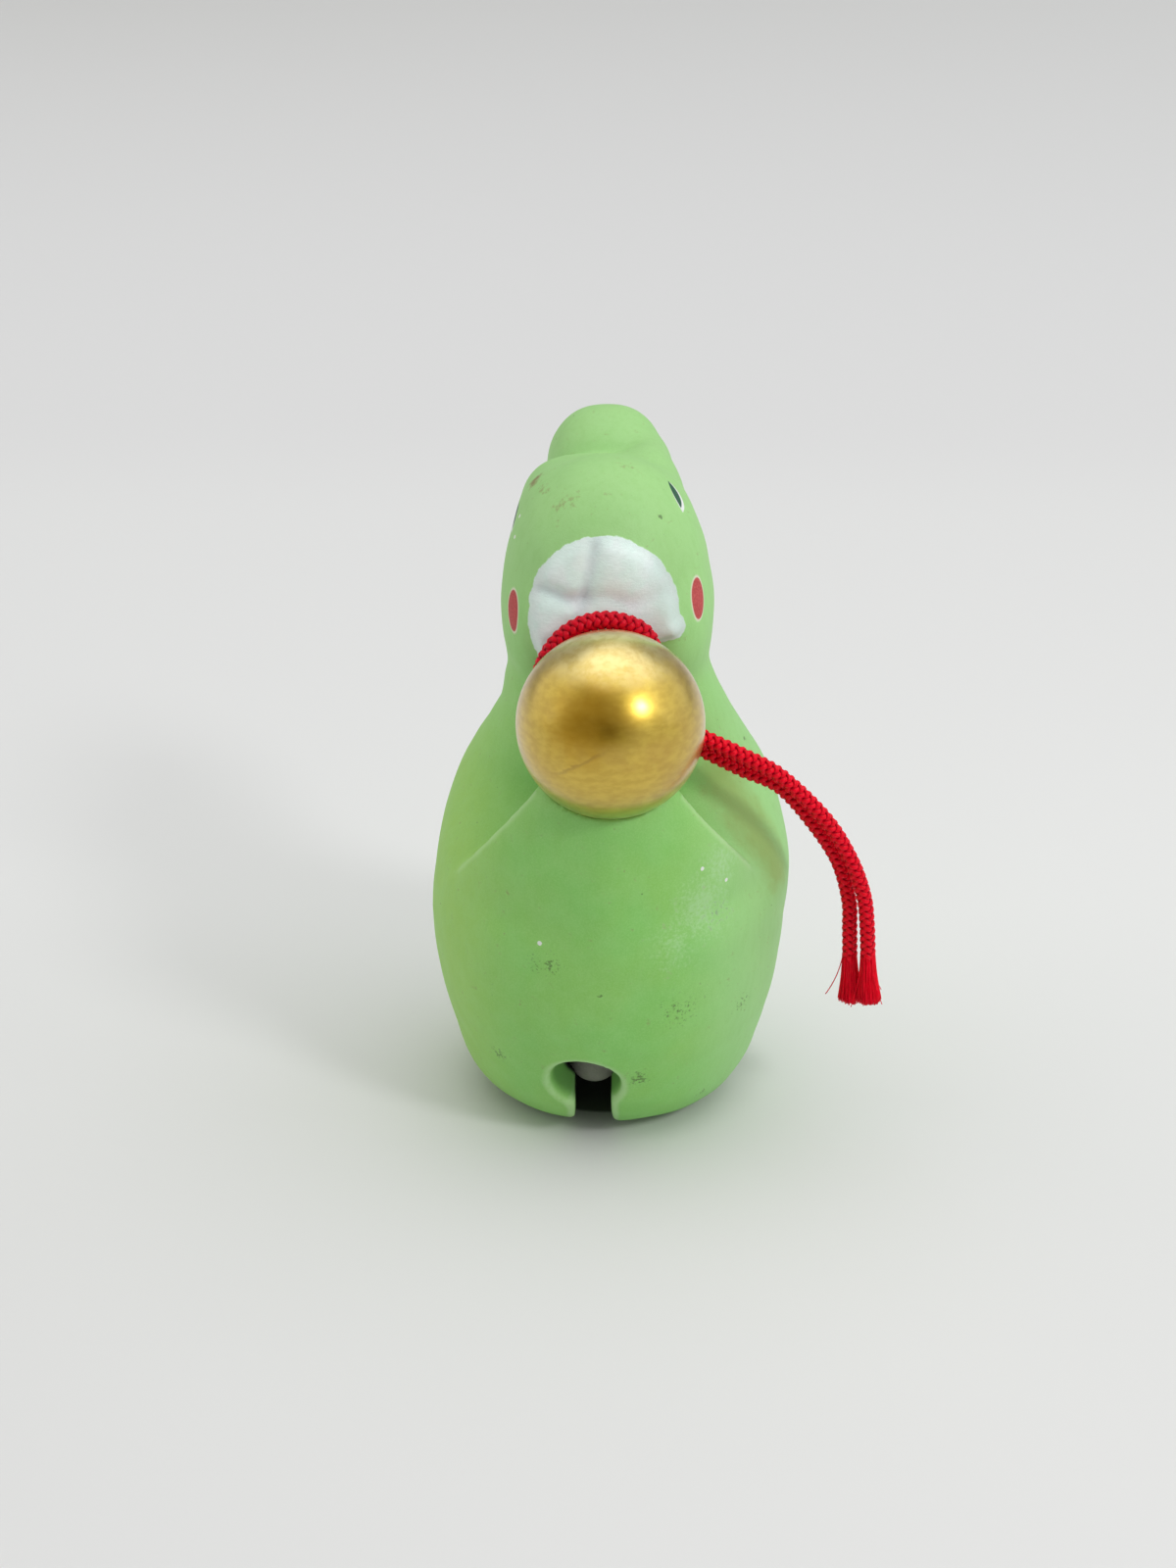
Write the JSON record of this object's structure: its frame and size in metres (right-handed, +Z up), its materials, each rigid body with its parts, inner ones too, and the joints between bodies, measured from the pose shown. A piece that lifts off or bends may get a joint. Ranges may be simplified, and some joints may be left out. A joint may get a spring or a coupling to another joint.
{
  "type": "clay bell",
  "caption": "Hollow painted clay bell shaped as a small seated animal, with a slit foot, a loose rattling pellet, a gold ball on the tail and a tied braided cord.",
  "frame": {"origin": "on the standing surface, under the middle of the bell's bounding box without its cord", "axes": "+Z up, the animal looks along +Y, the tail and ball are at -Y, and the free cord ends hang at +X"},
  "size_m": [0.0557, 0.0581, 0.0836],
  "materials": {
    "green_paint": "low-fired clay with matte apple-green paint, a pearl-white mane patch and red cheek spots",
    "gold_paint": "low-fired clay with satin metallic gold paint, worn brownish in places",
    "bare_clay": "unpainted fired clay, pale grey",
    "red_cord": "braided crimson cord with a slight sheen"
  },
  "bodies": {
    "figure": {"shell_left": "green_paint", "shell_right": "green_paint", "tail_ball": "gold_paint", "cord_loop": "red_cord", "cord_knot": "red_cord"},
    "pellet": {"pellet": "bare_clay"},
    "cord_ends": {"cord_end_upper": "red_cord", "cord_end_lower": "red_cord"}
  },
  "joints": [
    {"name": "pellet_hop", "type": "slide", "parent": "figure", "child": "pellet", "axis": [0, 0, 1], "range_m": [0, 0.026]},
    {"name": "cord_lift", "type": "hinge", "parent": "figure", "child": "cord_ends", "pos_m": [0.00835, -0.0089, 0.05373], "axis": [0, -1, 0], "range_deg": [0, 45]}
  ]
}
